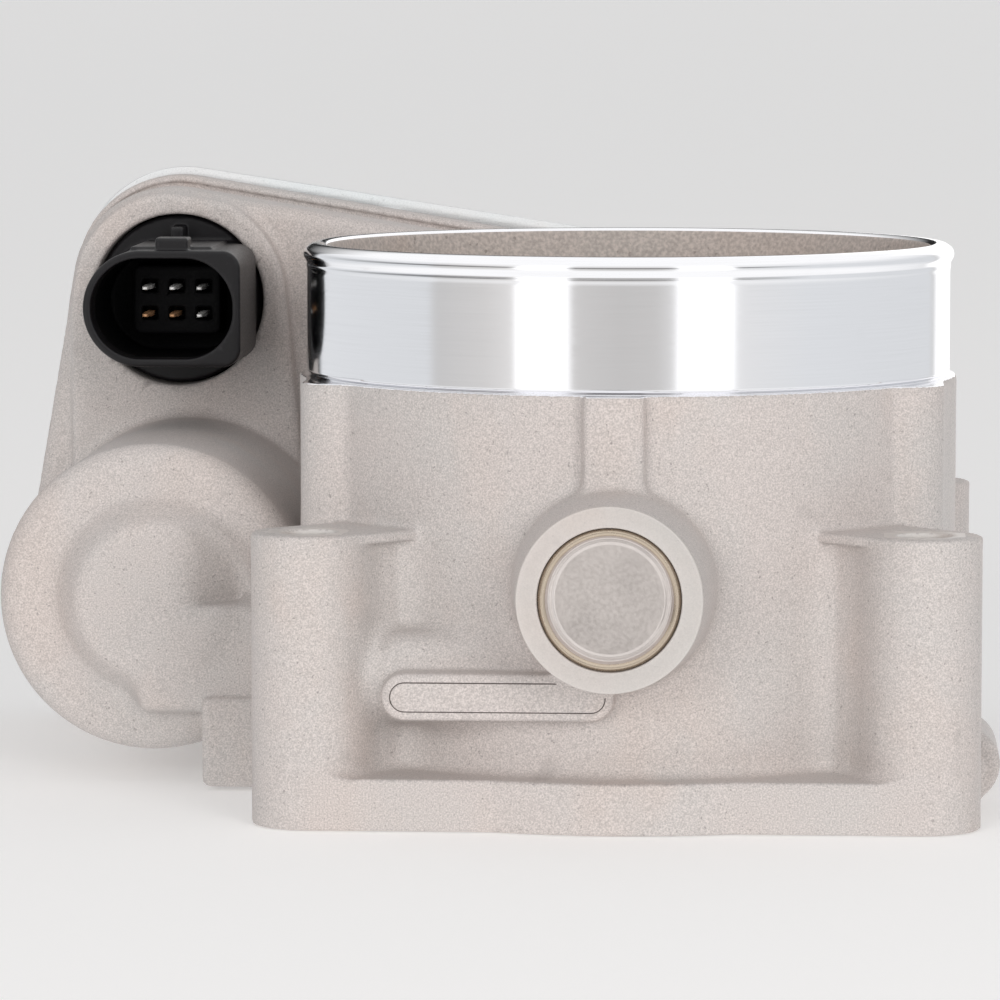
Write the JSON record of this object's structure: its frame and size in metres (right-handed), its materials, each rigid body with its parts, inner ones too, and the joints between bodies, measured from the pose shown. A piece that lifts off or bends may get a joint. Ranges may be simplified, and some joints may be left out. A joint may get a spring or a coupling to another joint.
{
  "type": "electronic throttle body",
  "caption": "Motor-driven butterfly throttle body: cast body with a turned intake spigot, square bolt-on manifold flange, gear housing and plug-in connector.",
  "frame": {"origin": "bore axis on the manifold face", "axes": "+Z along the bore from the manifold face to the intake spigot, -Y to the plugged end of the throttle shaft, +Y to the gear cover"},
  "size_m": [0.1455, 0.142, 0.0869],
  "materials": {
    "cast_aluminium": "blasted casting",
    "machined_aluminium": "turned bright",
    "plug_steel": "satin",
    "steel": "ground",
    "dark_steel": "phosphated",
    "brass": "satin",
    "copper": "satin",
    "black_plastic": "moulded satin",
    "gear_plastic": "moulded satin",
    "rubber": "matt",
    "board": "satin",
    "magnet": "matt"
  },
  "bodies": {
    "housing": {"throttle_housing": "cast_aluminium", "core_plug": "plug_steel", "front_needle_bearing": "steel", "front_shaft_seal": "rubber", "rear_shaft_seal": "rubber", "rear_ball_bearing": "steel", "spring_bush": "black_plastic", "return_spring": "dark_steel", "stop_pin": "steel", "intermediate_pin": "steel", "motor_can": "steel", "motor_end_plate": "steel", "motor_screw_1": "dark_steel", "motor_screw_2": "dark_steel", "motor_magnet_1": "magnet", "motor_magnet_2": "magnet", "motor_wave_spring": "steel", "gear_cover": "machined_aluminium", "cover_gasket": "rubber", "sensor_board": "board", "connector_body": "black_plastic", "connector_seal": "rubber", "lead_frame": "copper", "connector_pin_1": "brass", "connector_pin_2": "brass", "connector_pin_3": "brass", "connector_pin_4": "brass", "connector_pin_5": "brass", "connector_pin_6": "brass", "cover_screw_1": "steel", "cover_screw_2": "steel", "cover_screw_3": "steel", "cover_screw_4": "steel", "cover_screw_5": "steel", "cover_screw_6": "steel"},
    "throttle": {"throttle_shaft": "steel", "throttle_plate": "brass", "plate_screw_1": "dark_steel", "plate_screw_2": "dark_steel", "sector_gear": "gear_plastic", "shaft_nut": "steel", "sensor_magnet": "magnet"},
    "intermediate": {"intermediate_gear": "gear_plastic"},
    "motor_rotor": {"motor_shaft": "steel", "motor_armature": "copper", "motor_commutator": "copper", "motor_pinion": "brass"}
  },
  "joints": [
    {"name": "throttle_turn", "type": "hinge", "parent": "housing", "child": "throttle", "pos_m": [0, 0, 0.0325], "axis": [0, -1, 0], "range_deg": [-7, 80], "stiffness_Nm_per_rad": 0.08},
    {"name": "intermediate_turn", "type": "hinge", "parent": "housing", "child": "intermediate", "pos_m": [-0.03426, 0, 0.03732], "axis": [0, -1, 0], "range_deg": [-265.01, 23.2]},
    {"name": "motor_turn", "type": "hinge", "parent": "housing", "child": "motor_rotor", "pos_m": [-0.06698, 0, 0.02605], "axis": [0, -1, 0], "range_deg": [-110.15, 1258.76]}
  ],
  "couplings": [
    {"joint": "intermediate_turn", "follows": "throttle_turn", "ratio": -3.3125},
    {"joint": "motor_turn", "follows": "throttle_turn", "ratio": 15.734}
  ]
}
